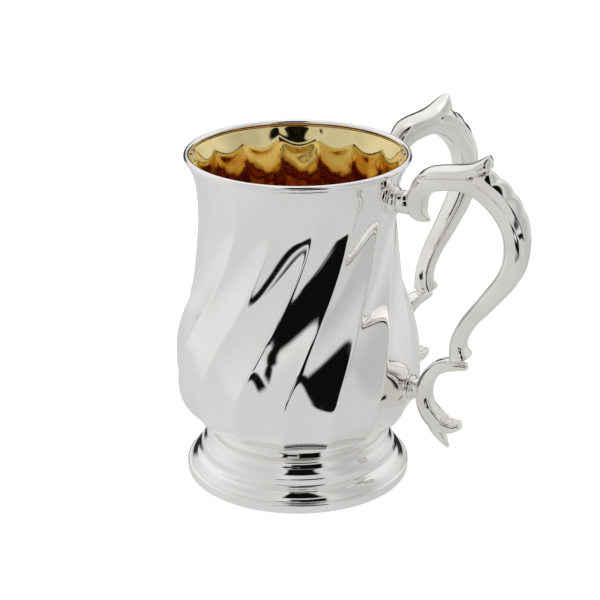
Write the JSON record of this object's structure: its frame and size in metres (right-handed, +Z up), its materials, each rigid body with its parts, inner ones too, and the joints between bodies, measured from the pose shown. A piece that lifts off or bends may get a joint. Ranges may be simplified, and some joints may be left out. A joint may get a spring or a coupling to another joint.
{
  "type": "two-handled fluted tankard",
  "caption": "Baluster tankard with twisted flutes, stepped round foot, flared rim and two double-scroll handles set side by side; open top, no lid.",
  "frame": {"origin": "centre of the object's footprint box, on the plane the foot stands on", "axes": "+Z up along the body's axis, +X away from the body midway between the two handles, +Y to the left seen from the handle side"},
  "size_m": [0.1266, 0.1054, 0.1388],
  "materials": {
    "silver": "mirror polished silver",
    "silver_cast": "mirror polished cast silver",
    "gilt": "polished gilding on the inside of the body"
  },
  "bodies": {
    "root": {"foot_rim_band": "silver", "foot": "silver", "foot_collar": "silver", "body_shell": "silver", "rim_wire": "silver", "handle_a_upper_socket": "silver_cast", "handle_a_lower_socket": "silver_cast", "handle_a_scroll": "silver_cast", "handle_a_thumb_leaf": "silver_cast", "handle_a_knuckled_ridge": "silver_cast", "handle_a_lower_scroll": "silver_cast", "handle_b_upper_socket": "silver_cast", "handle_b_lower_socket": "silver_cast", "handle_b_scroll": "silver_cast", "handle_b_thumb_leaf": "silver_cast", "handle_b_knuckled_ridge": "silver_cast", "handle_b_lower_scroll": "silver_cast"}
  },
  "joints": []
}
